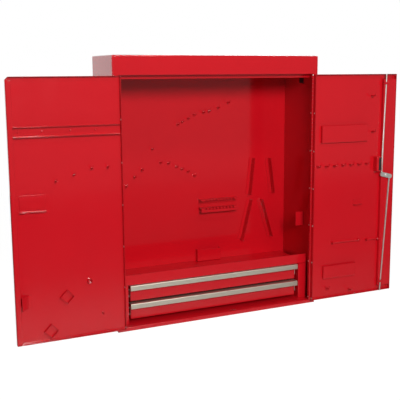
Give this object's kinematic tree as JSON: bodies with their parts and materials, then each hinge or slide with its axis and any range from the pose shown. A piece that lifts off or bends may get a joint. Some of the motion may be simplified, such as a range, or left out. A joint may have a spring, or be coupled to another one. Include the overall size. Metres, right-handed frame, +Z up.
{
  "type": "wall-mounted tool cabinet",
  "caption": "Wall-mounted sheet-steel tool cabinet with hinged doors, hooks and racks inside, a tray, shallow drawers and a rod lock.",
  "frame": {"origin": "centre of the back face, which is the centre of the four wall fixing holes", "axes": "+X to the right when facing the cabinet, +Y into the wall, +Z up"},
  "size_m": [1.218, 0.232, 0.78],
  "materials": {
    "red_paint": "gloss enamel",
    "zinc": "bright zinc plate",
    "aluminium": "satin anodised",
    "lock_chrome": "polished",
    "dark_nylon": "matt"
  },
  "bodies": {
    "frame": {"left_side_panel": "red_paint", "right_side_panel": "red_paint", "top_cover": "red_paint", "header_rail": "red_paint", "floor_panel": "red_paint", "back_panel": "red_paint", "left_hinge_frame_leaf": "red_paint", "right_hinge_frame_leaf": "red_paint", "hinge_pins": "zinc", "frame_hinge_rivets": "zinc", "drawer_unit_left_side": "red_paint", "drawer_unit_right_side": "red_paint", "tray": "red_paint", "drawer_runners": "zinc", "back_hooks": "red_paint", "bit_ledges": "red_paint", "upper_left_rack": "red_paint", "lower_left_rack": "red_paint", "plain_racks": "red_paint", "back_pocket": "red_paint", "side_wall_tab": "red_paint", "wall_slot_plug": "dark_nylon"},
    "left_door": {"left_hinge_door_leaf": "red_paint", "left_door_hinge_rivets": "zinc", "left_door_panel": "red_paint", "left_door_edge_strip": "red_paint", "left_door_rail": "red_paint", "left_door_rail_rivets": "red_paint", "left_door_ledge": "red_paint", "left_door_hooks": "red_paint", "left_door_strap": "red_paint", "left_door_ring": "red_paint", "left_door_square_holders": "red_paint"},
    "right_door": {"right_hinge_door_leaf": "red_paint", "right_door_hinge_rivets": "zinc", "right_door_panel": "red_paint", "right_door_edge_channel": "red_paint", "right_door_pocket": "red_paint", "right_door_box": "red_paint", "right_door_hooks": "red_paint", "right_door_wire_bars": "red_paint", "right_door_small_bracket": "red_paint", "lock_case": "red_paint", "lock_guide_insert": "dark_nylon", "lock_sleeve": "lock_chrome", "lock_nut": "zinc", "rod_guides": "red_paint"},
    "lock_cam": {"lock_cam": "zinc", "lock_plug": "lock_chrome", "cam_screw": "zinc"},
    "upper_rod": {"upper_rod": "zinc"},
    "lower_rod": {"lower_rod": "zinc"},
    "upper_drawer": {"upper_drawer_front": "red_paint", "upper_drawer_tub": "red_paint", "upper_drawer_pull": "aluminium", "upper_drawer_slides": "zinc"},
    "lower_drawer": {"lower_drawer_front": "red_paint", "lower_drawer_tub": "red_paint", "lower_drawer_pull": "aluminium", "lower_drawer_slides": "zinc"}
  },
  "joints": [
    {"name": "left_door_hinge", "type": "hinge", "parent": "frame", "child": "left_door", "pos_m": [-0.305, -0.2034, 0], "axis": [0, 0, -1], "range_deg": [-180, 0]},
    {"name": "right_door_hinge", "type": "hinge", "parent": "frame", "child": "right_door", "pos_m": [0.305, -0.2034, 0], "axis": [0, 0, 1], "range_deg": [-180, 0]},
    {"name": "upper_drawer_slide", "type": "slide", "parent": "frame", "child": "upper_drawer", "axis": [0, -1, 0], "range_m": [0, 0.11]},
    {"name": "lower_drawer_slide", "type": "slide", "parent": "frame", "child": "lower_drawer", "axis": [0, -1, 0], "range_m": [0, 0.11]},
    {"name": "lock_turn", "type": "hinge", "parent": "right_door", "child": "lock_cam", "pos_m": [0.575, -0.223, 0.01], "axis": [0, 1, 0], "range_deg": [0, 75]},
    {"name": "upper_rod_pivot", "type": "hinge", "parent": "lock_cam", "child": "upper_rod", "pos_m": [0.55954, -0.2209, 0.01414], "axis": [0, 1, 0], "range_deg": [-79, 0]},
    {"name": "lower_rod_pivot", "type": "hinge", "parent": "lock_cam", "child": "lower_rod", "pos_m": [0.59045, -0.2209, 0.00586], "axis": [0, 1, 0], "range_deg": [-79, 0]}
  ],
  "couplings": [
    {"joint": "upper_rod_pivot", "follows": "lock_turn", "ratio": -1.0414},
    {"joint": "lower_rod_pivot", "follows": "lock_turn", "ratio": -1.0331}
  ]
}
